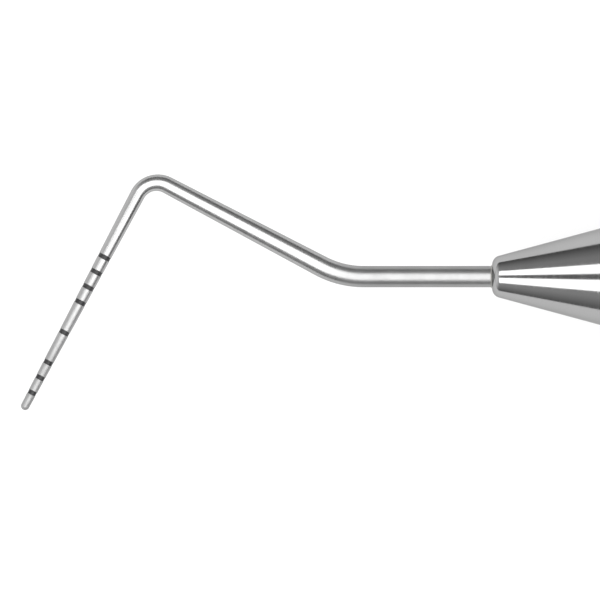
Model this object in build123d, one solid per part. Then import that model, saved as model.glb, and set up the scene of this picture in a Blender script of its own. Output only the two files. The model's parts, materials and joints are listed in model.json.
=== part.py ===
from build123d import *
import os
from math import cos, pi, radians, sin, tan

# A single-ended periodontal probe. Its working end is a thin bent rod with engraved depth marks,
# brazed into a polished nose cone, and the cone screws into a hollow knurled handle.
#
# Frame, in millimetres: the handle's axis is X and the working end points to -X. The working end is
# bent in the XY plane, with its elbow towards +Y and its tip towards -Y, and +Z is up as the probe
# lies on a table. The origin is on the handle's axis, in the middle of its plain holder seat.

# --- Working end -------------------------------------------------------------------------------
MARKS_MM = (1, 2, 3, 5, 7, 8, 9, 10)  # distances from the tip's end
MARK_WIDTH = 0.25
MARK_DEPTH = 0.05

TIP_R = 0.25
TIP_BASE_R = 0.44  # where the tip leaves its bend
ARM_END_R = 0.505  # where the arm goes into that bend
SHANK_R = 0.625

SHANK_LENGTH = 8.86  # from the cone's face to the corner of the arm bend
ARM_LENGTH = 12.78  # from that corner to the corner of the tip bend
TIP_LENGTH = 15.58  # from that corner to the tip's end
TANG_LENGTH = 9.0  # of the rod, inside the cone
ARM_BEND = 27.8
TIP_BEND = 89.8
ARM_BEND_RADIUS = 5.4
TIP_BEND_RADIUS = 1.3
BRAZE_LEG = 0.11

# --- Nose cone and its screw joint --------------------------------------------------------------
NOSE_R = 1.12
NOSE_ROUND = 0.55
CONE_HALF_ANGLE = 15.2
CONE_BAND = 2.4  # the reeded band at the cone's foot
CONE_BAND_GROOVE = 0.5
GROOVE_DEPTH = 0.2

PILOT_BASE_R = 3.0
PILOT_END_R = 2.6
PILOT_LENGTH = 2.0
PILOT_GAP = 0.03
THREAD_PITCH = 0.7
THREAD_MAJOR_R = 2.0
THREAD_MINOR_R = 1.57
THREAD_CREST = THREAD_PITCH / 8
THREAD_GAP = 0.05
THREAD_TURNS = 9.0
THREAD_BURY = 0.03
STUD_RELIEF = 0.6
STUD_TAIL = 0.5

SEAL_THICKNESS = 1.0
SEAL_R = 4.6
SEAL_BORE_R = 3.1
FACE_GAP = 0.02

# --- Handle -------------------------------------------------------------------------------------
HANDLE_R = 4.75
TUBE_BORE_R = 3.8
TUBE_LENGTH = 118.0
TUBE_CHAMFER = 0.3
SEAT_LENGTH = 42.0

COLLAR = 5.6
RELIEF = 0.6
KNURL_BAND = 8.0
RING_LAND = 0.8
RING_WIDTH = 2.4
RING_BED_R = 4.30
RING_CROWN_R = 4.85
GRIP_BANDS = 4
GRIP_RINGS = GRIP_BANDS - 1
REAR_BAND = 8.0

INSERT_LENGTH = 11.0
GROOVE_TURNS = 16  # of the insert's thread, enough to run out past its rear end
GROOVE_LEAD = 2  # whole turns ahead of the stud's thread, so that the two are in mesh
PIN_R = 0.5
PIN_TIP_R = 2.9
PIN_FROM_FACE = 3.6

PLUG_SHANK = 8.0
PLUG_WALL = 1.0
PLUG_FLOOR = 1.5
PLUG_LAND = 1.4
PLUG_HEAD = 7.0
PLUG_CROWN = 1.6
DIMPLE_R = 0.7  # of the lathe's centre mark in the plug's end
DIMPLE_DEPTH = 0.35

# --- Stations along X that follow from those -----------------------------------------------------
BAND_STEP = KNURL_BAND + 2 * RELIEF + 2 * RING_LAND + RING_WIDTH
FIRST_BAND = COLLAR + RELIEF
GRIP_END = FIRST_BAND + (GRIP_BANDS - 1) * BAND_STEP + KNURL_BAND + RELIEF
SHOULDER_X = -(GRIP_END + SEAT_LENGTH / 2)
REAR_X = SHOULDER_X + TUBE_LENGTH
CONE_FOOT_X = SHOULDER_X - SEAL_THICKNESS
FLANK_LENGTH = (HANDLE_R - NOSE_R) / tan(radians(CONE_HALF_ANGLE))
FLANK_END_X = CONE_FOOT_X - CONE_BAND - CONE_BAND_GROOVE
NOSE_X = FLANK_END_X - FLANK_LENGTH
THREAD_START_X = SHOULDER_X + PILOT_LENGTH + STUD_RELIEF
THREAD_LENGTH = THREAD_TURNS * THREAD_PITCH
STUD_END_X = THREAD_START_X + THREAD_LENGTH + STUD_TAIL


def heading(degrees):
    """The unit vector in the XY plane at that angle from +X."""
    return Vector(cos(radians(degrees)), sin(radians(degrees)), 0)


def turned(*outline):
    """A solid of revolution about the handle's axis, from its half outline as (x, radius) points."""
    face = make_face(Polyline(*outline, close=True))
    return revolve(face, Axis.X)


def rims(piece, x, radius):
    """The circular edges of a turned piece at that place and of that radius."""
    circles = piece.edges().filter_by(GeomType.CIRCLE)
    return [e for e in circles if abs(e.arc_center.X - x) < 1e-4 and abs(e.radius - radius) < 1e-4]


def tube_x(from_face):
    """The place on X that lies that far behind the handle tube's front face."""
    return SHOULDER_X + from_face


# --- The working end ------------------------------------------------------------------------------
ARM_HEADING = 180 - ARM_BEND
TIP_HEADING = ARM_HEADING + TIP_BEND
ARM_BEND_REACH = ARM_BEND_RADIUS * tan(radians(ARM_BEND / 2))
TIP_BEND_REACH = TIP_BEND_RADIUS * tan(radians(TIP_BEND / 2))
ARM_CORNER = Vector(NOSE_X - SHANK_LENGTH, 0, 0)
TIP_CORNER = ARM_CORNER + heading(ARM_HEADING) * ARM_LENGTH
TIP_END = TIP_CORNER + heading(TIP_HEADING) * TIP_LENGTH
TIP_PLANE = Plane(origin=TIP_END, z_dir=-heading(TIP_HEADING))


def bar(start, angle, length, r_start, r_end):
    """A straight round bar, tapered unless both radii are the same."""
    plane = Plane(origin=start, z_dir=heading(angle))
    if r_start == r_end:
        return Solid.make_cylinder(r_start, length, plane)
    return Solid.make_cone(r_start, r_end, length, plane)


def bend(start, angle, turn, bend_radius, r_start, r_end):
    """A round bar that sets off at that angle and turns, to the left if turn is positive."""
    path = JernArc(start, heading(angle), bend_radius, turn)
    sections = []
    for end, r in ((0, r_start), (1, r_end)):
        plane = Plane(origin=path @ end, x_dir=(0, 0, 1), z_dir=path % end)
        sections.append(plane * Circle(r))
    return sweep(sections=sections, path=path, multisection=True)


def plain_rod():
    """The rod before it is engraved, from its tang in the cone to the rounded tip."""
    tang_start = Vector(NOSE_X + TANG_LENGTH, 0, 0)
    arm_start = ARM_CORNER - heading(180) * ARM_BEND_REACH
    arm_run = ARM_CORNER + heading(ARM_HEADING) * ARM_BEND_REACH
    tip_start = TIP_CORNER - heading(ARM_HEADING) * TIP_BEND_REACH
    tip_run = TIP_CORNER + heading(TIP_HEADING) * TIP_BEND_REACH
    tip_taper = TIP_LENGTH - TIP_BEND_REACH - TIP_R
    rod = bar(tang_start, 180, (tang_start - arm_start).length, SHANK_R, SHANK_R)
    rod += bend(arm_start, 180, -ARM_BEND, ARM_BEND_RADIUS, SHANK_R, SHANK_R)
    rod += bar(arm_run, ARM_HEADING, (tip_start - arm_run).length, SHANK_R, ARM_END_R)
    rod += bend(tip_start, ARM_HEADING, TIP_BEND, TIP_BEND_RADIUS, ARM_END_R, TIP_BASE_R)
    rod += bar(tip_run, TIP_HEADING, tip_taper, TIP_BASE_R, TIP_R)
    rod += Pos(*(TIP_END - heading(TIP_HEADING) * TIP_R)) * Sphere(TIP_R)
    return rod


def tip_radius(from_end):
    """The tip's radius that far from its end."""
    taper = TIP_LENGTH - TIP_BEND_REACH - TIP_R
    return TIP_R + (TIP_BASE_R - TIP_R) * (from_end - TIP_R) / taper


def mark_cutter(from_end):
    """The ring that the graver sweeps, which starts that far from the tip's end."""
    plane = TIP_PLANE.offset(from_end)
    floor_r = tip_radius(from_end) - MARK_DEPTH
    return Solid.make_cylinder(2 * TIP_BASE_R, MARK_WIDTH, plane) - Solid.make_cylinder(
        floor_r, MARK_WIDTH, plane
    )


def engraved_rod():
    """{node: solid} of the rod and of the black enamel that fills each engraved mark."""
    blank = plain_rod()
    cutters = {mm: mark_cutter(mm) for mm in MARKS_MM}
    pieces = {f"depth_mark_{mm:02d}mm": blank & cutter for mm, cutter in cutters.items()}
    rod = blank
    for cutter in cutters.values():
        rod -= cutter
    return {"probe_rod": rod, **pieces}


def braze_fillet():
    """The ring of silver braze in the corner between the rod and the cone's face."""
    foot = (NOSE_X, SHANK_R)
    along_rod = (NOSE_X - BRAZE_LEG, SHANK_R)
    up_face = (NOSE_X, SHANK_R + BRAZE_LEG)
    hollow = RadiusArc(up_face, along_rod, -1.2 * BRAZE_LEG)
    return revolve(make_face(Line(along_rod, foot) + Line(foot, up_face) + hollow), Axis.X)


# --- The screw joint ------------------------------------------------------------------------------
def thread(start_x, turns, gap=0.0):
    """The right-handed ridge of the stud's thread, or with a gap the groove that it runs in."""
    inner_r = THREAD_MINOR_R + gap - THREAD_BURY
    outer_r = THREAD_MAJOR_R + gap
    slope = tan(radians(30))
    side_gap = gap / cos(radians(30))
    half_crest = THREAD_CREST / 2 + side_gap - gap * slope
    half_root = half_crest + (outer_r - inner_r) * slope
    profile = make_face(
        Polyline(
            (inner_r, 0, -half_root),
            (outer_r, 0, -half_crest),
            (outer_r, 0, half_crest),
            (inner_r, 0, half_root),
            close=True,
        )
    )
    path = Helix(pitch=THREAD_PITCH, height=turns * THREAD_PITCH, radius=inner_r)
    ridge = sweep(profile, path, is_frenet=True)
    return Pos(start_x, 0, 0) * (Rot(0, 90, 0) * ridge)


def threaded_stud():
    """The stud behind the cone's centring pilot."""
    pilot_end_x = SHOULDER_X + PILOT_LENGTH
    core = turned(
        (pilot_end_x, 0),
        (pilot_end_x, THREAD_MINOR_R),
        (STUD_END_X - STUD_TAIL / 2, THREAD_MINOR_R),
        (STUD_END_X, THREAD_MINOR_R - STUD_TAIL / 2),
        (STUD_END_X, 0),
    )
    envelope = turned(
        (THREAD_START_X, 0),
        (THREAD_START_X, THREAD_MINOR_R),
        (THREAD_START_X + THREAD_PITCH / 2, THREAD_MAJOR_R),
        (STUD_END_X - STUD_TAIL - THREAD_PITCH / 2, THREAD_MAJOR_R),
        (STUD_END_X - STUD_TAIL / 2, THREAD_MINOR_R - STUD_TAIL / 4),
        (STUD_END_X - STUD_TAIL / 2, 0),
    )
    return core + (thread(THREAD_START_X, THREAD_TURNS) & envelope)


def nose_cone():
    """The polished cone, bored for the rod, with its reeded band, centring pilot and stud."""
    groove_r = HANDLE_R - GROOVE_DEPTH
    band_x = FLANK_END_X + CONE_BAND_GROOVE
    cone = turned(
        (NOSE_X, SHANK_R),
        (NOSE_X, NOSE_R),
        (FLANK_END_X, HANDLE_R),
        (FLANK_END_X, groove_r),
        (band_x, groove_r),
        (band_x, HANDLE_R),
        (CONE_FOOT_X - FACE_GAP, HANDLE_R),
        (CONE_FOOT_X - FACE_GAP, PILOT_BASE_R),
        (SHOULDER_X, PILOT_BASE_R),
        (SHOULDER_X + PILOT_LENGTH, PILOT_END_R),
        (SHOULDER_X + PILOT_LENGTH, 0),
        (NOSE_X + TANG_LENGTH, 0),
        (NOSE_X + TANG_LENGTH, SHANK_R),
    )
    cone = fillet(rims(cone, NOSE_X, NOSE_R), NOSE_ROUND)
    cone = chamfer(rims(cone, CONE_FOOT_X - FACE_GAP, HANDLE_R), TUBE_CHAMFER)
    return cone + threaded_stud()


def seal_ring():
    """The silicone ring between the cone's foot and the tube's face."""
    front_x, back_x = CONE_FOOT_X, SHOULDER_X - FACE_GAP
    ring = turned((front_x, SEAL_BORE_R), (front_x, SEAL_R), (back_x, SEAL_R), (back_x, SEAL_BORE_R))
    rounded = rims(ring, front_x, SEAL_R) + rims(ring, back_x, SEAL_R)
    return fillet(rounded, SEAL_THICKNESS / 4)


def socket_insert():
    """The threaded bush in the tube's mouth, with the conical seat that centres the cone's pilot."""
    bore_r = THREAD_MINOR_R + THREAD_GAP
    end_x = SHOULDER_X + INSERT_LENGTH
    seat_end_x = SHOULDER_X + PILOT_LENGTH
    bush = turned(
        (SHOULDER_X, PILOT_BASE_R + PILOT_GAP),
        (SHOULDER_X, TUBE_BORE_R),
        (end_x, TUBE_BORE_R),
        (end_x, bore_r + TUBE_CHAMFER),
        (end_x - TUBE_CHAMFER, bore_r),
        (seat_end_x + FACE_GAP, bore_r),
        (seat_end_x + FACE_GAP, PILOT_END_R + PILOT_GAP),
    )
    groove = thread(THREAD_START_X - GROOVE_LEAD * THREAD_PITCH, GROOVE_TURNS, THREAD_GAP)
    return bush - groove - insert_pins()


def insert_pins():
    """Two pins, ground flush with the tube, that keep the insert from turning."""
    pin_x = tube_x(PIN_FROM_FACE)
    length = HANDLE_R - PIN_TIP_R
    pins = []
    for side in (1, -1):
        plane = Plane(origin=(pin_x, side * PIN_TIP_R, 0), z_dir=(0, side, 0))
        pins.append(Solid.make_cylinder(PIN_R, length, plane))
    barrel = turned((SHOULDER_X, 0), (SHOULDER_X, HANDLE_R), (REAR_X, HANDLE_R), (REAR_X, 0))
    return [pin & barrel for pin in pins]


# --- The handle -----------------------------------------------------------------------------------
def grip_bands():
    """(start, end) of each knurled band, as distances behind the tube's front face."""
    front = [(FIRST_BAND + i * BAND_STEP, FIRST_BAND + i * BAND_STEP + KNURL_BAND) for i in range(GRIP_BANDS)]
    rear_start = rear_ring_bed()[1] + RING_LAND + RELIEF
    return front + [(rear_start, rear_start + REAR_BAND)]


def ring_bed(after_band):
    """(start, end) of the ring bed behind that front band."""
    start = FIRST_BAND + after_band * BAND_STEP + KNURL_BAND + RELIEF + RING_LAND
    return start, start + RING_WIDTH


def rear_ring_bed():
    """(start, end) of the bed of the identification ring, behind the holder seat."""
    start = GRIP_END + SEAT_LENGTH
    return start, start + RING_WIDTH


def ring_beds():
    return [ring_bed(i) for i in range(GRIP_RINGS)] + [rear_ring_bed()]


def handle_tube():
    """The hollow barrel, with a relief at each end of every knurled band and a bed for every ring."""
    tube = turned(
        (SHOULDER_X, TUBE_BORE_R),
        (SHOULDER_X, HANDLE_R),
        (REAR_X, HANDLE_R),
        (REAR_X, TUBE_BORE_R),
    )
    tube = chamfer(rims(tube, SHOULDER_X, HANDLE_R) + rims(tube, REAR_X, HANDLE_R), TUBE_CHAMFER)
    relief_r = HANDLE_R - GROOVE_DEPTH
    grooves = [(start, end, RING_BED_R) for start, end in ring_beds()]
    for start, end in grip_bands():
        grooves += [(start - RELIEF, start, relief_r), (end, end + RELIEF, relief_r)]
    outside_r = HANDLE_R + 1
    for start, end, floor_r in grooves:
        a, b = tube_x(start), tube_x(end)
        tube -= turned((a, floor_r), (a, outside_r), (b, outside_r), (b, floor_r))
    return tube - insert_pins()


def silicone_ring(bed):
    """A crowned ring, stretched into its bed and a little proud of the handle."""
    a, b = tube_x(bed[0]), tube_x(bed[1])
    shoulder_r = HANDLE_R - 0.1
    crown = ThreePointArc((a, shoulder_r), ((a + b) / 2, RING_CROWN_R), (b, shoulder_r))
    sides = Polyline((b, shoulder_r), (b, RING_BED_R), (a, RING_BED_R), (a, shoulder_r))
    return revolve(make_face(crown + sides), Axis.X)


def end_plug():
    """The rear plug: a hollow shank pressed into the tube behind a rounded head."""
    core_r = TUBE_BORE_R - PLUG_WALL
    shank_x = REAR_X - PLUG_SHANK
    floor_x = REAR_X - PLUG_FLOOR
    end_x = REAR_X + PLUG_HEAD
    end_r = HANDLE_R - (PLUG_HEAD - PLUG_LAND) * tan(radians(CONE_HALF_ANGLE))
    plug = turned(
        (shank_x, core_r),
        (shank_x, TUBE_BORE_R),
        (REAR_X, TUBE_BORE_R),
        (REAR_X, HANDLE_R),
        (REAR_X + PLUG_LAND, HANDLE_R),
        (end_x, end_r),
        (end_x, DIMPLE_R),
        (end_x - DIMPLE_DEPTH, 0),
        (floor_x, 0),
        (floor_x, core_r),
    )
    plug = fillet(rims(plug, end_x, end_r), PLUG_CROWN)
    return chamfer(rims(plug, REAR_X, HANDLE_R), TUBE_CHAMFER)


def all_pieces():
    """{node: its solid or solids}."""
    pieces = engraved_rod()
    pieces["braze_fillet"] = braze_fillet()
    pieces["nose_cone"] = nose_cone()
    pieces["seal_ring"] = seal_ring()
    pieces["socket_insert"] = socket_insert()
    pieces["insert_pins"] = Compound(children=insert_pins())
    pieces["handle_tube"] = handle_tube()
    for i in range(GRIP_RINGS):
        pieces[f"grip_ring_{i + 1}"] = silicone_ring(ring_bed(i))
    pieces["id_ring"] = silicone_ring(rear_ring_bed())
    pieces["end_plug"] = end_plug()
    return pieces


os.makedirs("parts", exist_ok=True)
for node, piece in all_pieces().items():
    export_step(piece, f"parts/{node}.step")
print(f"from the tip at {TIP_END.X:.2f} to the plug's end at {REAR_X + PLUG_HEAD:.2f} mm along X")
print(f"the working end turns {2 * pi * 1000 / THREAD_PITCH:.5f} radians for each metre of advance")
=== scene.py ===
import json
import math

import bmesh
import bpy
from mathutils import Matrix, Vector


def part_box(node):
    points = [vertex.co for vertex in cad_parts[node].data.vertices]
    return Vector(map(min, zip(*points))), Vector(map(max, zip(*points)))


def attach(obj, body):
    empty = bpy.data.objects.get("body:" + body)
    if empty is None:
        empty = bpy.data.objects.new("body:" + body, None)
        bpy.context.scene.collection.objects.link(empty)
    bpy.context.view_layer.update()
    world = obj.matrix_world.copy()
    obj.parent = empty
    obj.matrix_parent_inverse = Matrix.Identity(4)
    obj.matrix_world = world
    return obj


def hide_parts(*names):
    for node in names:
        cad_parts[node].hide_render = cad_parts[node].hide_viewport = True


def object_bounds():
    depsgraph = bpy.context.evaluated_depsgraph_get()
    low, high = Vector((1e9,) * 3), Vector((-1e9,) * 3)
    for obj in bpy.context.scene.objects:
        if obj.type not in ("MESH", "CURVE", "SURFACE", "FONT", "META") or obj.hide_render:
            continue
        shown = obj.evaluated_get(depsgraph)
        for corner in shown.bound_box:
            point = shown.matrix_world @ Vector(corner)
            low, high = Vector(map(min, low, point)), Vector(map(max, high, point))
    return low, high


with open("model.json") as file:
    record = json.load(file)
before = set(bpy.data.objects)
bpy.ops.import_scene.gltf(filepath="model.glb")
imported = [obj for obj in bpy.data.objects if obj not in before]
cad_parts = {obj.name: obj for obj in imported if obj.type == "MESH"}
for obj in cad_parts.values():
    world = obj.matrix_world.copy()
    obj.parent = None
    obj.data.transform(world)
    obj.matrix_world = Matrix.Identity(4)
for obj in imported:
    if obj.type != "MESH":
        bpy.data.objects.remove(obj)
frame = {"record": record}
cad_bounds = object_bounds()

# The looks of a periodontal probe. Lengths are in millimetres until solid() turns them into metres,
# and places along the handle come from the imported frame.
MM = 0.001

# --- The rod: its bends and taper -----------------------------------------------------------------
MARKS_MM = (1, 2, 3, 5, 7, 8, 9, 10)  # distances from the tip's end
MARK_WIDTH = 0.25
MARK_DEPTH = 0.05
MARK_BEVEL = 0.015
ENAMEL_SINK = 0.012
TIP_R = 0.25
TIP_BASE_R = 0.44  # where the tip leaves its bend
ARM_END_R = 0.505  # where the arm goes into that bend
SHANK_R = 0.625
SHANK_LENGTH = 8.86
ARM_LENGTH = 12.78
TIP_LENGTH = 15.58
TANG_LENGTH = 9.0
ARM_BEND = 27.8
TIP_BEND = 89.8
ARM_BEND_RADIUS = 5.4
TIP_BEND_RADIUS = 1.3
BRAZE_LEG = 0.11

# --- The cone and its screw joint -----------------------------------------------------------------
NOSE_R = 1.12
NOSE_ROUND = 0.55
CONE_BAND = 2.4
CONE_BAND_GROOVE = 0.5
GROOVE_DEPTH = 0.2
REEDS = 64
REED_DEPTH = 0.13
PILOT_BASE_R = 3.0
PILOT_END_R = 2.6
PILOT_LENGTH = 2.0
SEAT_GAP = 0.03
FOOT_GAP = 0.02  # between faces that only just clear each other
BORE_GAP = 0.005
THREAD_PITCH = 0.7
THREAD_MAJOR_R = 2.0
THREAD_MINOR_R = 1.57
THREAD_CREST = THREAD_PITCH / 8
THREAD_GAP = 0.05
THREAD_ROW = THREAD_PITCH / 20  # between the rings of a thread
THREAD_FLANK = math.radians(30)
THREAD_PHASE = 0.25  # of a turn, where the stud's thread starts
STUD_RELIEF = 0.6
STUD_TAIL = 0.5
SEAL_BORE_GAP = 0.1

# --- The handle -----------------------------------------------------------------------------------
TUBE_CHAMFER = 0.3
EDGE = 0.06  # the small round that breaks every turned edge
RELIEF = 0.6
RING_LAND = 0.8
RING_BED_DEPTH = 0.45
RING_EDGE_DEPTH = 0.1  # of a ring's edges, below the handle's surface
KNURL_BAND = 8.0
KNURL_AROUND = 32  # diamonds
KNURL_ALONG = 5
KNURL_STEPS = 4  # mesh steps across half a diamond
KNURL_DEPTH = 0.18
KNURL_FLAT = 0.75  # the share of a diamond's flank that its flat top leaves
BAND_CHAMFER = 0.15
SEGMENTS = 2 * KNURL_AROUND * KNURL_STEPS
PLUG_SHANK = 8.0
PLUG_GAP = 0.01
PLUG_WALL = 1.0
PLUG_FLOOR = 1.5
PLUG_LAND = 1.4
PLUG_CROWN = 1.6
PLUG_TAPER = 15.2  # degrees
DIMPLE_R = 0.7
DIMPLE_DEPTH = 0.35
PIN_INNER_Y = 3.0
PIN_SEGMENTS = 40
PIN_PROUD = 0.01  # of the tube's surface
PIN_LINE = 0.03  # the width of the fine line round a pin's end
PIN_LINE_DEPTH = 0.02

# --- Places from the frame ------------------------------------------------------------------------


def extent(node):
    """(lowest x, highest x, largest radius) of a turned CAD node, in millimetres."""
    low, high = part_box(node)
    return low.x / MM, high.x / MM, high.z / MM


SHOULDER_X, REAR_X, HANDLE_R = extent("handle_tube")
NOSE_X, STUD_END_X, _ = extent("nose_cone")
CONE_FOOT_X, SEAL_BACK_X, SEAL_R = extent("seal_ring")
_, INSERT_END_X, TUBE_BORE_R = extent("socket_insert")
RING_NODES = ("grip_ring_1", "grip_ring_2", "grip_ring_3", "id_ring")
RING_CROWN_R = extent("id_ring")[2]
RING_BED_R = HANDLE_R - RING_BED_DEPTH
THREAD_START_X = SHOULDER_X + PILOT_LENGTH + STUD_RELIEF
FLANK_END_X = CONE_FOOT_X - CONE_BAND - CONE_BAND_GROOVE
FLOOR_Z = cad_bounds[0].z


def heading(degrees):
    return Vector((math.cos(math.radians(degrees)), math.sin(math.radians(degrees)), 0))


ARM_HEADING = 180 - ARM_BEND
TIP_HEADING = ARM_HEADING + TIP_BEND
ARM_BEND_REACH = ARM_BEND_RADIUS * math.tan(math.radians(ARM_BEND / 2))
TIP_BEND_REACH = TIP_BEND_RADIUS * math.tan(math.radians(TIP_BEND / 2))
ARM_CORNER = Vector((NOSE_X - SHANK_LENGTH, 0, 0))
TIP_CORNER = ARM_CORNER + heading(ARM_HEADING) * ARM_LENGTH
TIP_END = TIP_CORNER + heading(TIP_HEADING) * TIP_LENGTH


# --- Meshes from rings of points ------------------------------------------------------------------


def ring(centre, degrees, radii, count):
    """Points round a centre, square to that heading. radii is one radius, or one for each point."""
    across = heading(degrees + 90)
    points = []
    for i in range(count):
        angle = 2 * math.pi * i / count
        r = radii[i] if isinstance(radii, list) else radii
        points.append(centre + (across * math.cos(angle) + Vector((0, 0, math.sin(angle)))) * r)
    return points


def turned(outline, count=SEGMENTS):
    """Rings round the handle's axis through (x, radius) points. A radius of 0 gives a single point."""
    rings = []
    for x, r in outline:
        centre = Vector((x, 0, 0))
        rings.append([centre] if r == 0 else ring(centre, 0, r, count))
    return rings


def rounded(corners, steps=5):
    """The (x, radius) points through (x, radius, round) corners, with an arc where round isn't 0."""
    points = []
    for i, (x, r, size) in enumerate(corners):
        corner = Vector((x, r))
        if not size:
            points.append((x, r))
            continue
        before = (Vector(corners[i - 1][:2]) - corner).normalized()
        after = (Vector(corners[(i + 1) % len(corners)][:2]) - corner).normalized()
        half_turn = (math.pi - before.angle(after)) / 2
        reach = size * math.tan(half_turn)
        centre = corner + (before + after).normalized() * (size / math.cos(half_turn))
        first = (corner + before * reach - centre).normalized()
        last = (corner + after * reach - centre).normalized()
        points += [tuple(centre + first.slerp(last, k / steps) * size) for k in range(steps + 1)]
    return points


def band_between(a, b, split):
    """The faces between two rings, given as lists of point numbers. split says how each quad is cut."""
    if len(a) == 1 or len(b) == 1:
        tip, rim = (a[0], b) if len(a) == 1 else (b[0], a)
        return [(tip, rim[i], rim[(i + 1) % len(rim)]) for i in range(len(rim))]
    faces = []
    for i in range(len(a)):
        j = (i + 1) % len(a)
        if split is None:
            faces.append((a[i], a[j], b[j], b[i]))
        elif split(i):
            faces += [(a[i], a[j], b[j]), (a[i], b[j], b[i])]
        else:
            faces += [(a[i], a[j], b[i]), (a[j], b[j], b[i])]
    return faces


def place_skin(name, node, material, mesh, skin, sharp=35):
    """Makes a piece of a finished skin. It rides on the CAD node's body and replaces the node."""
    bmesh.ops.recalc_face_normals(skin, faces=skin.faces)
    skin.to_mesh(mesh)
    skin.free()
    mesh.shade_smooth()
    mesh.set_sharp_from_angle(angle=math.radians(sharp))
    piece = bpy.data.objects.new(name, mesh)
    bpy.context.scene.collection.objects.link(piece)
    mesh.materials.append(material)
    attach(piece, BODY_OF[node])
    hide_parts(node)


def solid(name, node, material, rings, closed=False, splits=None, sharp=35):
    """A piece whose skin runs through the rings in order, from end to end, or right round if closed.
    splits is {ring number: the split of the faces that follow it}."""
    points, numbers = [], []
    for one in rings:
        numbers.append(list(range(len(points), len(points) + len(one))))
        points += [p * MM for p in one]
    faces = []
    for k in range(len(rings) if closed else len(rings) - 1):
        faces += band_between(numbers[k], numbers[(k + 1) % len(rings)], (splits or {}).get(k))
    mesh = bpy.data.meshes.new(name)
    mesh.from_pydata(points, [], faces)
    skin = bmesh.new()
    skin.from_mesh(mesh)
    place_skin(name, node, material, mesh, skin, sharp)


BODY_OF = {
    node: body for body, nodes in frame["record"]["behaviour"]["bodies"].items() for node in nodes
}


# --- Materials ------------------------------------------------------------------------------------
EDGE_TINT = (0.6, 0.6, 0.6, 1)  # how much less than a mirror steel reflects at a glance
MIX_A, MIX_B, MIX_RESULT = 6, 7, 2  # the colour sockets of a Mix node


def shader_node(tree, kind, inputs=(), **settings):
    """A new shader node. inputs is {socket: a value, or the output that feeds it}."""
    new = tree.nodes.new("ShaderNode" + kind)
    for key, value in settings.items():
        setattr(new, key, value)
    for key, value in dict(inputs).items():
        if isinstance(value, bpy.types.NodeSocket):
            tree.links.new(value, new.inputs[key])
        else:
            new.inputs[key].default_value = value
    return new


def new_material(name, **constants):
    """(material, its tree, its Principled shader), with the constants on the shader's own sockets."""
    material = bpy.data.materials.new(name)
    material.use_nodes = True
    shader = material.node_tree.nodes["Principled BSDF"]
    for key, value in constants.items():
        shader.inputs[key.replace("_", " ").title().replace("Ior", "IOR")].default_value = value
    return material, material.node_tree, shader


def grain(tree, scale, stretch=(1, 1, 1), detail=3.0):
    """Noise in the object's own coordinates, whose scale is in features per metre."""
    place = shader_node(tree, "TexCoord").outputs["Object"]
    mapped = shader_node(tree, "Mapping", {"Vector": place, "Scale": stretch})
    noise = shader_node(tree, "TexNoise", {"Vector": mapped.outputs[0], "Scale": scale, "Detail": detail})
    return noise.outputs["Fac"]


def ramp(tree, value, low, high, to_low, to_high):
    """value, from low to high, turned into to_low to to_high."""
    inputs = {"Value": value, "From Min": low, "From Max": high, "To Min": to_low, "To Max": to_high}
    return shader_node(tree, "MapRange", inputs).outputs[0]


def blend_colours(tree, factor, first, second):
    """The first colour at a factor of 0 and the second at 1. The second may be another blend."""
    if not isinstance(second, bpy.types.NodeSocket):
        second = (*second, 1)
    inputs = {0: factor, MIX_A: (*first, 1), MIX_B: second}
    return shader_node(tree, "Mix", inputs, data_type="RGBA").outputs[MIX_RESULT]


def add_up(tree, first, *others):
    total = first
    for other in others:
        total = shader_node(tree, "Math", {0: total, 1: other}, operation="ADD").outputs[0]
    return total


def add_bump(tree, shader, height, strength, distance):
    inputs = {"Height": height, "Strength": strength, "Distance": distance}
    tree.links.new(shader_node(tree, "Bump", inputs).outputs[0], shader.inputs["Normal"])


def axis_radius(tree):
    """The distance from the handle's axis, in metres."""
    place = shader_node(tree, "TexCoord").outputs["Object"]
    flat = shader_node(tree, "VectorMath", {0: place, 1: (0, 1, 1)}, operation="MULTIPLY")
    return shader_node(tree, "VectorMath", {0: flat.outputs[0]}, operation="LENGTH").outputs["Value"]


def polished_steel():
    """The cone and the plug: mirror-polished on a lathe, with faint turned lines."""
    material, tree, shader = new_material("polished_steel", metallic=1.0, specular_tint=EDGE_TINT)
    lines = grain(tree, 900, stretch=(9, 0.25, 0.25))
    cloud = grain(tree, 350)
    colour = blend_colours(tree, cloud, (0.385, 0.385, 0.385), (0.425, 0.425, 0.425))
    tree.links.new(colour, shader.inputs["Base Color"])
    tree.links.new(ramp(tree, lines, 0.3, 0.7, 0.08, 0.15), shader.inputs["Roughness"])
    add_bump(tree, shader, lines, 0.05, 0.00002)
    return material


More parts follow.
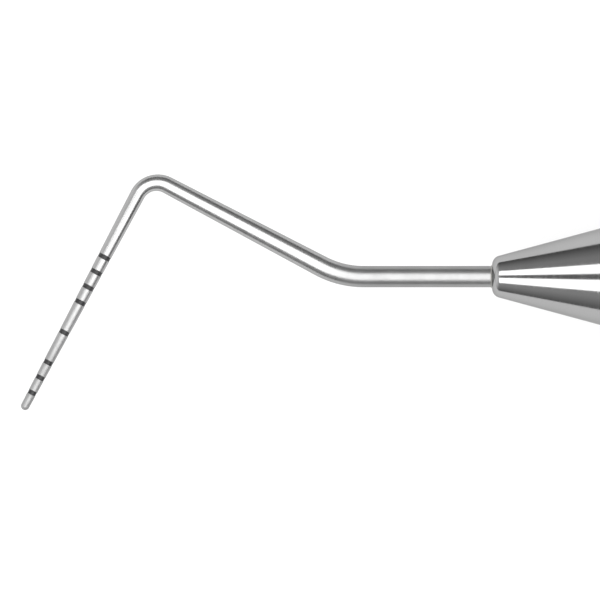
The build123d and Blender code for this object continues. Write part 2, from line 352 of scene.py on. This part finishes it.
def rod_steel():
    """The rod: bright hard steel, rubbed duller towards its tip, and darker on its shank."""
    material, tree, shader = new_material("rod_steel", metallic=1.0, specular_tint=EDGE_TINT)
    rub = grain(tree, 2500, detail=4)
    cloud = grain(tree, 500)
    place = shader_node(tree, "TexCoord").outputs["Object"]
    along = shader_node(tree, "SeparateXYZ", {0: place}).outputs["X"]
    bend_start = (ARM_CORNER.x - ARM_BEND_REACH) * MM
    bend_end = (ARM_CORNER.x + ARM_BEND_REACH) * MM
    dark = ramp(tree, along, bend_start, bend_end, 0, -0.55)
    bright = add_up(tree, ramp(tree, cloud, 0.3, 0.7, 0.6, 1.0), dark)
    colour = blend_colours(tree, bright, (0.33, 0.33, 0.33), (0.45, 0.45, 0.45))
    tree.links.new(colour, shader.inputs["Base Color"])
    from_end = shader_node(tree, "VectorMath", {0: place, 1: TIP_END * MM}, operation="DISTANCE")
    worn = ramp(tree, from_end.outputs["Value"], 0.003, 0.0125, 0.32, 0)
    dull = ramp(tree, along, bend_start, bend_end, 0, 0.12)
    rough = add_up(tree, ramp(tree, rub, 0.3, 0.7, 0.21, 0.30), worn, dull)
    tree.links.new(rough, shader.inputs["Roughness"])
    add_bump(tree, shader, rub, 0.06, 0.00002)
    return material


def satin_steel():
    """The handle: satin steel, with bright worn crests on the knurl and painted shade that darkens its
    grooves.
    """
    material, tree, shader = new_material("satin_steel", metallic=1.0)
    brushed = grain(tree, 1500, stretch=(8, 0.4, 0.4), detail=4)
    cloud = grain(tree, 220)
    # Painted shade: height darkens the colour the deeper the surface lies below the handle's radius, in
    # knurl grooves, reliefs and ring beds, and also makes the worn crests smoother.
    height = ramp(tree, axis_radius(tree), (HANDLE_R - GROOVE_DEPTH) * MM, HANDLE_R * MM, 0, 1)
    surface = blend_colours(tree, cloud, (0.50, 0.50, 0.51), (0.58, 0.58, 0.59))
    colour = blend_colours(tree, height, (0.20, 0.20, 0.21), surface)
    tree.links.new(colour, shader.inputs["Base Color"])
    rough = ramp(tree, height, 0, 1, 0.48, 0.27)
    spread = ramp(tree, brushed, 0.3, 0.7, -0.05, 0.05)
    tree.links.new(add_up(tree, rough, spread), shader.inputs["Roughness"])
    add_bump(tree, shader, brushed, 0.12, 0.00002)
    return material


def thread_steel():
    """The insert: plain machined steel, darker where oil stays in the thread."""
    material, tree, shader = new_material("thread_steel", metallic=1.0)
    lines = grain(tree, 1200, stretch=(6, 0.4, 0.4))
    colour = blend_colours(tree, lines, (0.36, 0.36, 0.37), (0.48, 0.48, 0.49))
    tree.links.new(colour, shader.inputs["Base Color"])
    tree.links.new(ramp(tree, lines, 0.3, 0.7, 0.25, 0.38), shader.inputs["Roughness"])
    add_bump(tree, shader, lines, 0.1, 0.00002)
    return material


def silver_braze():
    """The braze: a slightly warm, dull fillet with a few ripples."""
    material, tree, shader = new_material("silver_braze", metallic=1.0)
    ripple = grain(tree, 3000, detail=2)
    colour = blend_colours(tree, ripple, (0.30, 0.295, 0.285), (0.38, 0.375, 0.36))
    tree.links.new(colour, shader.inputs["Base Color"])
    tree.links.new(ramp(tree, ripple, 0.3, 0.7, 0.38, 0.5), shader.inputs["Roughness"])
    add_bump(tree, shader, ripple, 0.2, 0.00003)
    return material


def mark_enamel():
    """The black fill of the depth marks, worn a little thin in places."""
    material, tree, shader = new_material("mark_enamel", specular_ior_level=0.4)
    wear = grain(tree, 6000, detail=4)
    thin = ramp(tree, wear, 0.45, 0.75, 0, 1)
    colour = blend_colours(tree, thin, (0.018, 0.018, 0.019), (0.045, 0.045, 0.047))
    tree.links.new(colour, shader.inputs["Base Color"])
    tree.links.new(ramp(tree, wear, 0.3, 0.7, 0.3, 0.5), shader.inputs["Roughness"])
    add_bump(tree, shader, wear, 0.15, 0.00002)
    return material


def grip_silicone():
    """Graphite silicone, matt, with the fine tooth that the mould leaves."""
    material, tree, shader = new_material("grip_silicone", specular_ior_level=0.45)
    tooth = grain(tree, 5000, detail=4)
    dust = grain(tree, 700, detail=5)
    dusty = ramp(tree, dust, 0.4, 0.75, 0, 1)
    colour = blend_colours(tree, dusty, (0.022, 0.024, 0.028), (0.05, 0.052, 0.056))
    tree.links.new(colour, shader.inputs["Base Color"])
    tree.links.new(ramp(tree, tooth, 0.3, 0.7, 0.52, 0.68), shader.inputs["Roughness"])
    add_bump(tree, shader, tooth, 0.25, 0.00003)
    return material


POLISHED = polished_steel()
ROD_STEEL = rod_steel()
SATIN = satin_steel()
THREADED = thread_steel()
BRAZE = silver_braze()
ENAMEL = mark_enamel()
SILICONE = grip_silicone()


# --- The working end ------------------------------------------------------------------------------
ROD_SEGMENTS = 64
BEND_STEPS = 28
DOME_STEPS = 10


def tip_radius(from_end):
    """The tip's radius that far from its end, behind the rounded point."""
    taper = TIP_LENGTH - TIP_BEND_REACH - TIP_R
    return TIP_R + (TIP_BASE_R - TIP_R) * (from_end - TIP_R) / taper


def tip_ring(from_end, r):
    return ring(TIP_END - heading(TIP_HEADING) * from_end, TIP_HEADING, r, ROD_SEGMENTS)


def bend_rings(start, degrees, turn, bend_radius, r_start, r_end):
    """Rings round a bend that sets off at that heading and turns, to the left if turn is positive."""
    side = 1 if turn > 0 else -1
    centre = start + heading(degrees + 90 * side) * bend_radius
    rings = []
    for k in range(BEND_STEPS + 1):
        now = degrees + turn * k / BEND_STEPS
        r = r_start + (r_end - r_start) * k / BEND_STEPS
        rings.append(ring(centre - heading(now + 90 * side) * bend_radius, now, r, ROD_SEGMENTS))
    return rings


def engraved_tip_rings():
    """Rings from the last bend to the point, with a groove for each mark."""
    rings = []
    for mm in reversed(MARKS_MM):
        for end, out in ((mm + MARK_WIDTH, MARK_BEVEL), (mm, -MARK_BEVEL)):
            steps = [(end + out, 0), (end, MARK_BEVEL), (end, MARK_DEPTH)]
            if out < 0:
                steps.reverse()
            rings += [tip_ring(place, tip_radius(place) - depth) for place, depth in steps]
    for k in range(DOME_STEPS):
        angle = math.pi / 2 * k / DOME_STEPS
        rings.append(tip_ring(TIP_R * (1 - math.sin(angle)), TIP_R * math.cos(angle)))
    return rings + [[TIP_END]]


def make_rod():
    tang_x = NOSE_X + TANG_LENGTH
    arm_start = ARM_CORNER - heading(180) * ARM_BEND_REACH
    tip_start = TIP_CORNER - heading(ARM_HEADING) * TIP_BEND_REACH
    rings = [[Vector((tang_x, 0, 0))]]
    rings.append(ring(Vector((tang_x, 0, 0)), 180, SHANK_R, ROD_SEGMENTS))
    rings += bend_rings(arm_start, 180, -ARM_BEND, ARM_BEND_RADIUS, SHANK_R, SHANK_R)
    rings += bend_rings(tip_start, ARM_HEADING, TIP_BEND, TIP_BEND_RADIUS, ARM_END_R, TIP_BASE_R)
    rings += engraved_tip_rings()
    solid("engraved_rod", "probe_rod", ROD_STEEL, rings)


def make_mark(mm):
    """The enamel in one groove, which sinks a little between the groove's edges."""
    floor = tip_radius(mm) - MARK_DEPTH
    middle, far = mm + MARK_WIDTH / 2, mm + MARK_WIDTH
    outline = [
        (mm, floor),
        (mm, tip_radius(mm) - ENAMEL_SINK),
        (middle, tip_radius(middle) - 1.5 * ENAMEL_SINK),
        (far, tip_radius(far) - ENAMEL_SINK),
        (far, floor),
    ]
    rings = [tip_ring(place, r) for place, r in outline]
    solid(f"enamel_{mm:02d}mm", f"depth_mark_{mm:02d}mm", ENAMEL, rings, closed=True)


def make_braze():
    """A hollow fillet between the rod and the cone's face."""
    steps = 8
    hollow = []
    for k in range(steps + 1):
        angle = math.pi / 2 * k / steps
        x = NOSE_X - BRAZE_LEG * (1 - math.sin(angle))
        hollow.append((x, SHANK_R + BRAZE_LEG * (1 - math.cos(angle))))
    outline = hollow + [(NOSE_X, SHANK_R)]
    solid("braze_ring", "braze_fillet", BRAZE, turned(outline, ROD_SEGMENTS), closed=True)


# --- The cone and the screw joint -----------------------------------------------------------------


def thread_ring(x, crest_r, root_r, gap, envelope_r):
    """A ring at x through a right-handed thread, no further out than the envelope."""
    slope = math.tan(THREAD_FLANK)
    half_crest = THREAD_CREST / 2 + gap / math.cos(THREAD_FLANK) - gap * slope
    radii = []
    for i in range(SEGMENTS):
        turns = (x - THREAD_START_X) / THREAD_PITCH - i / SEGMENTS - THREAD_PHASE
        from_crest = abs((turns + 0.5) % 1 - 0.5) * THREAD_PITCH
        r = crest_r - max(0, from_crest - half_crest) / slope
        radii.append(min(max(r, root_r), envelope_r))
    return ring(Vector((x, 0, 0)), 0, radii, SEGMENTS)


def stud_rings():
    """The stud's thread, which runs out into its core at both ends."""
    first, last = THREAD_START_X, STUD_END_X - STUD_TAIL / 2
    rows = round((last - first) / THREAD_ROW)
    rings = []
    for k in range(rows + 1):
        x = first + (last - first) * k / rows
        envelope = THREAD_MINOR_R + min(x - first, last - x)
        rings.append(thread_ring(x, THREAD_MAJOR_R, THREAD_MINOR_R, 0, envelope))
    return rings


def reeded_rings(start, end):
    """A band of fine reeds, with its two ends chamfered."""
    rings = []
    for x in (start, start + BAND_CHAMFER, end - BAND_CHAMFER, end):
        outer = HANDLE_R - (BAND_CHAMFER if x in (start, end) else 0)
        radii = []
        for i in range(SEGMENTS):
            across = abs((i * REEDS / SEGMENTS) % 1 - 0.5) * 2
            radii.append(min(outer, HANDLE_R - REED_DEPTH * across ** 2))
        rings.append(ring(Vector((x, 0, 0)), 0, radii, SEGMENTS))
    return rings


def make_cone():
    band_x = FLANK_END_X + CONE_BAND_GROOVE
    foot_x = CONE_FOOT_X - FOOT_GAP
    groove_r = HANDLE_R - GROOVE_DEPTH
    bore_r = SHANK_R + BORE_GAP
    bottom_x = NOSE_X + TANG_LENGTH
    front = rounded(
        [
            (bottom_x, bore_r, 0),
            (NOSE_X, bore_r, 0),
            (NOSE_X, NOSE_R, NOSE_ROUND),
            (FLANK_END_X, HANDLE_R, EDGE),
            (FLANK_END_X, groove_r, EDGE),
            (band_x, groove_r, 0),
        ],
        steps=10,
    )
    behind = rounded(
        [
            (foot_x, PILOT_BASE_R, 0),
            (SHOULDER_X, PILOT_BASE_R, EDGE),
            (SHOULDER_X + PILOT_LENGTH, PILOT_END_R, EDGE),
            (SHOULDER_X + PILOT_LENGTH, THREAD_MINOR_R, 0),
        ]
    )
    rings = [[Vector((bottom_x, 0, 0))]] + turned(front)
    rings += reeded_rings(band_x, foot_x) + turned(behind) + stud_rings()
    rings += turned([(STUD_END_X, THREAD_MINOR_R - STUD_TAIL / 2), (STUD_END_X, 0)])
    solid("polished_cone", "nose_cone", POLISHED, rings)


def make_seal():
    inner_r = PILOT_BASE_R + SEAL_BORE_GAP
    corner = (SEAL_BACK_X - CONE_FOOT_X) / 4
    outline = rounded(
        [
            (CONE_FOOT_X, inner_r, EDGE),
            (CONE_FOOT_X, SEAL_R, corner),
            (SEAL_BACK_X, SEAL_R, corner),
            (SEAL_BACK_X, inner_r, EDGE),
        ]
    )
    solid("silicone_seal", "seal_ring", SILICONE, turned(outline), closed=True)


def make_insert():
    """The bush, seen in the tube's mouth when the cone is unscrewed."""
    bore_r = THREAD_MINOR_R + THREAD_GAP
    seat_end_x = SHOULDER_X + PILOT_LENGTH + FOOT_GAP
    outside = rounded(
        [
            (seat_end_x, PILOT_END_R + SEAT_GAP, 0),
            (SHOULDER_X, PILOT_BASE_R + SEAT_GAP, EDGE),
            (SHOULDER_X, TUBE_BORE_R, EDGE),
            (INSERT_END_X, TUBE_BORE_R, EDGE),
            (INSERT_END_X, bore_r + TUBE_CHAMFER, 0),
        ]
    )
    rings = turned(outside)
    last = INSERT_END_X - TUBE_CHAMFER
    rows = round((last - seat_end_x) / THREAD_ROW)
    for k in range(rows + 1):
        x = last + (seat_end_x - last) * k / rows
        rings.append(thread_ring(x, THREAD_MAJOR_R + THREAD_GAP, bore_r, THREAD_GAP, TUBE_BORE_R))
    solid("threaded_insert", "socket_insert", THREADED, rings, closed=True)


# --- The handle -----------------------------------------------------------------------------------


def knurl_split(row):
    """Cuts the quads after that row along the knurl's grooves."""
    return lambda i: (i // KNURL_STEPS + row // KNURL_STEPS) % 2 == 0


def knurl_rings(start):
    """A band of diamonds with small flat tops, chamfered at both ends."""
    rows = 2 * KNURL_ALONG * KNURL_STEPS
    rings = []
    for row in range(rows + 1):
        along = row / KNURL_STEPS
        from_end = min(row, rows - row) * KNURL_BAND / rows
        limit = HANDLE_R - max(0, BAND_CHAMFER - from_end)
        radii = []
        for i in range(SEGMENTS):
            around = i / KNURL_STEPS
            first = abs((around + along) / 2 % 1 - 0.5) * 2
            second = abs((around - along) / 2 % 1 - 0.5) * 2
            flank = min(1 - first, 1 - second) / KNURL_FLAT
            radii.append(min(limit, HANDLE_R - KNURL_DEPTH * (1 - min(1, flank))))
        rings.append(ring(Vector((start + KNURL_BAND * row / rows, 0, 0)), 0, radii, SEGMENTS))
    return rings


def plain_stretch(start, end, groove_r, bed=None):
    """Corners between two knurled bands: a relief at each end, and a ring's bed if there is one."""
    corners = [
        (start, groove_r, 0),
        (start + RELIEF, groove_r, EDGE),
        (start + RELIEF, HANDLE_R, EDGE),
    ]
    if bed:
        corners += [
            (bed[0], HANDLE_R, EDGE),
            (bed[0], RING_BED_R, 0),
            (bed[1], RING_BED_R, 0),
            (bed[1], HANDLE_R, EDGE),
        ]
    corners += [(end - RELIEF, HANDLE_R, EDGE), (end - RELIEF, groove_r, EDGE), (end, groove_r, 0)]
    return rounded(corners, steps=3)


def make_tube():
    """The barrel. Each knurled band lies at a fixed distance from the ring beside it."""
    beds = [extent(node)[:2] for node in RING_NODES]
    margin = RING_LAND + RELIEF
    starts = [bed[0] - margin - KNURL_BAND for bed in beds[:-1]]
    starts += [beds[-2][1] + margin, beds[-1][1] + margin]
    groove_r = HANDLE_R - GROOVE_DEPTH
    front = rounded(
        [
            (SHOULDER_X, TUBE_BORE_R, 0),
            (SHOULDER_X, HANDLE_R - TUBE_CHAMFER, EDGE),
            (SHOULDER_X + TUBE_CHAMFER, HANDLE_R, EDGE),
            (starts[0] - RELIEF, HANDLE_R, EDGE),
            (starts[0] - RELIEF, groove_r, EDGE),
            (starts[0], groove_r, 0),
        ],
        steps=3,
    )
    rear = rounded(
        [
            (starts[-1] + KNURL_BAND, groove_r, 0),
            (starts[-1] + KNURL_BAND + RELIEF, groove_r, EDGE),
            (starts[-1] + KNURL_BAND + RELIEF, HANDLE_R, EDGE),
            (REAR_X - TUBE_CHAMFER, HANDLE_R, EDGE),
            (REAR_X, HANDLE_R - TUBE_CHAMFER, EDGE),
            (REAR_X, TUBE_BORE_R, 0),
        ],
        steps=3,
    )
    rings, splits = turned(front), {}
    for k, start in enumerate(starts):
        if k:
            rings += turned(plain_stretch(starts[k - 1] + KNURL_BAND, start, groove_r, beds[k - 1]))
        for row in range(2 * KNURL_ALONG * KNURL_STEPS):
            splits[len(rings) + row] = knurl_split(row)
        rings += knurl_rings(start)
    rings += turned(rear)
    solid("knurled_tube", "handle_tube", SATIN, rings, closed=True, splits=splits, sharp=25)


def make_ring(node):
    """A crowned ring of silicone in its bed."""
    low, high, _ = extent(node)
    edge_r = HANDLE_R - RING_EDGE_DEPTH
    steps = 16
    crown = []
    for k in range(steps + 1):
        across = 2 * k / steps - 1
        r = edge_r + (RING_CROWN_R - edge_r) * (1 - across ** 2)
        crown.append((low + (high - low) * k / steps, r))
    outline = [(low, RING_BED_R)] + crown + [(high, RING_BED_R)]
    solid(f"silicone_{node}", node, SILICONE, turned(outline), closed=True)


def make_plug():
    _, end_x, _ = extent("end_plug")
    core_r = TUBE_BORE_R - PLUG_WALL
    shank_x = REAR_X - PLUG_SHANK
    floor_x = REAR_X - PLUG_FLOOR
    taper_length = end_x - REAR_X - PLUG_LAND
    end_r = HANDLE_R - taper_length * math.tan(math.radians(PLUG_TAPER))
    outline = rounded(
        [
            (floor_x, core_r, 0),
            (shank_x, core_r, 0),
            (shank_x, TUBE_BORE_R - PLUG_GAP, EDGE),
            (REAR_X, TUBE_BORE_R - PLUG_GAP, 0),
            (REAR_X, HANDLE_R - TUBE_CHAMFER, EDGE),
            (REAR_X + TUBE_CHAMFER, HANDLE_R, EDGE),
            (REAR_X + PLUG_LAND, HANDLE_R, EDGE),
            (end_x, end_r, PLUG_CROWN),
            (end_x, DIMPLE_R, EDGE),
            (end_x - DIMPLE_DEPTH, 0, 0),
        ],
        steps=12,
    )
    solid("polished_plug", "end_plug", POLISHED, [[Vector((floor_x, 0, 0))]] + turned(outline))


def make_pins():
    """The two pins' ends, ground to the tube's curve with a fine line round each."""
    low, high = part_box("insert_pins")
    centre_x = (low.x + high.x) / 2 / MM
    pin_r = (high.x - low.x) / 2 / MM
    steps = (
        (pin_r, None),
        (pin_r, -PIN_LINE_DEPTH),
        (pin_r - PIN_LINE, PIN_PROUD),
        (pin_r / 2, PIN_PROUD),
    )
    mesh = bpy.data.meshes.new("ground_pins")
    skin = bmesh.new()
    for side in (1, -1):
        loops = []
        for r, lift in steps:
            loop = []
            for i in range(PIN_SEGMENTS):
                angle = 2 * math.pi * i / PIN_SEGMENTS
                dx, z = r * math.cos(angle), r * math.sin(angle)
                y = PIN_INNER_Y if lift is None else math.sqrt((HANDLE_R + lift) ** 2 - z ** 2)
                loop.append(skin.verts.new(Vector((centre_x + dx, side * y, z)) * MM))
            loops.append(loop)
        for a, b in zip(loops, loops[1:]):
            for i in range(PIN_SEGMENTS):
                j = (i + 1) % PIN_SEGMENTS
                skin.faces.new((a[i], a[j], b[j], b[i]))
        skin.faces.new(loops[0])
        tip = skin.verts.new(Vector((centre_x, side * (HANDLE_R + PIN_PROUD), 0)) * MM)
        for i in range(PIN_SEGMENTS):
            skin.faces.new((loops[-1][i], loops[-1][(i + 1) % PIN_SEGMENTS], tip))
    place_skin("ground_pins", "insert_pins", POLISHED, mesh, skin)


make_rod()
for mark in MARKS_MM:
    make_mark(mark)
make_braze()
make_cone()
make_seal()
make_insert()
make_pins()
make_tube()
for ring_node in RING_NODES:
    make_ring(ring_node)
make_plug()

# --- The stage, the lights and the camera, in metres ----------------------------------------------
FLOOR_HALF = 12.0
FLOOR_COLOUR = (0.24, 0.24, 0.24, 1)
FLOOR_GLOW_NEAR = 0.79  # within FLOOR_NEAR of the handle
FLOOR_GLOW_FAR = 0.95  # beyond FLOOR_FAR
FLOOR_NEAR = 0.3
FLOOR_FAR = 1.5
SOFTBOX_HEIGHT = 0.5
SOFTBOX_GAP = 7.8  # degrees off the vertical, of the pair ahead
SOFTBOX_SIDES = {1: 32.2, -1: 37.5}  # degrees, on the elbow's side and on the tip's
SOFTBOX_AHEAD = -0.39  # from the cone's face, where the pair ahead ends
SOFTBOX_SPLIT = -0.15  # where the pair meets the softbox overhead
SOFTBOX_BEHIND = 0.42  # where the softbox overhead ends
SOFTBOX_RADIANCE = 2.7
LENS = 600.0
SENSOR = 36.0
VIEW_WIDTH = 35.17 * MM
VIEW_AHEAD = 11.255 * MM  # of the cone's face, to the middle of the view
VIEW_ASIDE = -1.37 * MM


def make_floor():
    """A large pale floor that glows a little, evenly bright where the lights don't reach."""
    mesh = bpy.data.meshes.new("floor")
    corners = [(-1, -1), (1, -1), (1, 1), (-1, 1)]
    points = [(x * FLOOR_HALF, y * FLOOR_HALF, FLOOR_Z) for x, y in corners]
    mesh.from_pydata(points, [], [(0, 1, 2, 3)])
    floor = bpy.data.objects.new("floor", mesh)
    bpy.context.scene.collection.objects.link(floor)
    material = bpy.data.materials.new("floor")
    material.use_nodes = True
    tree = material.node_tree
    tree.nodes.remove(tree.nodes["Principled BSDF"])
    place = shader_node(tree, "TexCoord").outputs["Object"]
    distance = shader_node(tree, "VectorMath", {0: place}, operation="LENGTH").outputs["Value"]
    glow = ramp(tree, distance, FLOOR_NEAR, FLOOR_FAR, FLOOR_GLOW_NEAR, FLOOR_GLOW_FAR)
    light = shader_node(tree, "Emission", {"Strength": glow}).outputs[0]
    paint = shader_node(tree, "BsdfDiffuse", {"Color": FLOOR_COLOUR}).outputs[0]
    both = shader_node(tree, "AddShader", {0: light, 1: paint}).outputs[0]
    tree.links.new(both, tree.nodes["Material Output"].inputs["Surface"])
    mesh.materials.append(material)


def add_softbox(from_x, to_x, from_degrees, to_degrees):
    """A level softbox, from x to x beside the cone's face and between two angles off the vertical."""
    from_y = SOFTBOX_HEIGHT * math.tan(math.radians(from_degrees))
    to_y = SOFTBOX_HEIGHT * math.tan(math.radians(to_degrees))
    light = bpy.data.lights.new("softbox", "AREA")
    light.shape = "RECTANGLE"
    light.size = to_x - from_x
    light.size_y = abs(to_y - from_y)
    light.energy = SOFTBOX_RADIANCE * math.pi * light.size * light.size_y
    lamp = bpy.data.objects.new("softbox", light)
    lamp.location = (NOSE_X * MM + (from_x + to_x) / 2, (from_y + to_y) / 2, SOFTBOX_HEIGHT)
    lamp.visible_camera = False
    bpy.context.scene.collection.objects.link(lamp)


def make_softboxes():
    """A softbox over the handle, and a pair ahead of it with a dark gap between them."""
    add_softbox(SOFTBOX_SPLIT, SOFTBOX_BEHIND, -SOFTBOX_SIDES[-1], SOFTBOX_SIDES[1])
    for side, outer in SOFTBOX_SIDES.items():
        add_softbox(SOFTBOX_AHEAD, SOFTBOX_SPLIT, side * SOFTBOX_GAP, side * outer)


def make_world():
    """A dim studio, darker low down, above the softboxes and behind the handle, and lighter ahead."""
    world = bpy.data.worlds.new("studio")
    bpy.context.scene.world = world
    world.use_nodes = True
    tree = world.node_tree
    place = shader_node(tree, "TexCoord").outputs["Generated"]
    parts = shader_node(tree, "SeparateXYZ", {0: place})
    up = ramp(tree, parts.outputs["Z"], 0.1, 0.55, 0.15, 0.40)
    ahead = ramp(tree, parts.outputs["X"], -0.9, -0.5, 0.85, 0.0)
    behind = ramp(tree, parts.outputs["X"], 0.45, 0.8, 0.0, -0.12)
    aside = ramp(tree, parts.outputs["Y"], -0.7, 0.7, 0.05, -0.02)
    shade = ramp(tree, parts.outputs["Z"], 0.80, 0.85, 0.0, -0.23)
    strength = add_up(tree, up, ahead, behind, aside, shade)
    tree.links.new(strength, tree.nodes["Background"].inputs["Strength"])
    tree.nodes["Background"].inputs["Color"].default_value = (1, 1, 1, 1)


def make_camera():
    """Straight above the working end, with a long lens."""
    data = bpy.data.cameras.new("camera")
    data.lens = LENS
    data.sensor_width = SENSOR
    camera = bpy.data.objects.new("camera", data)
    distance = VIEW_WIDTH * LENS / SENSOR
    camera.location = (NOSE_X * MM - VIEW_AHEAD, VIEW_ASIDE, distance)
    data.clip_start = 0.01
    data.clip_end = 100.0
    bpy.context.scene.collection.objects.link(camera)
    bpy.context.scene.camera = camera


make_floor()
make_softboxes()
make_world()
make_camera()
bpy.context.scene.view_settings.view_transform = "Standard"
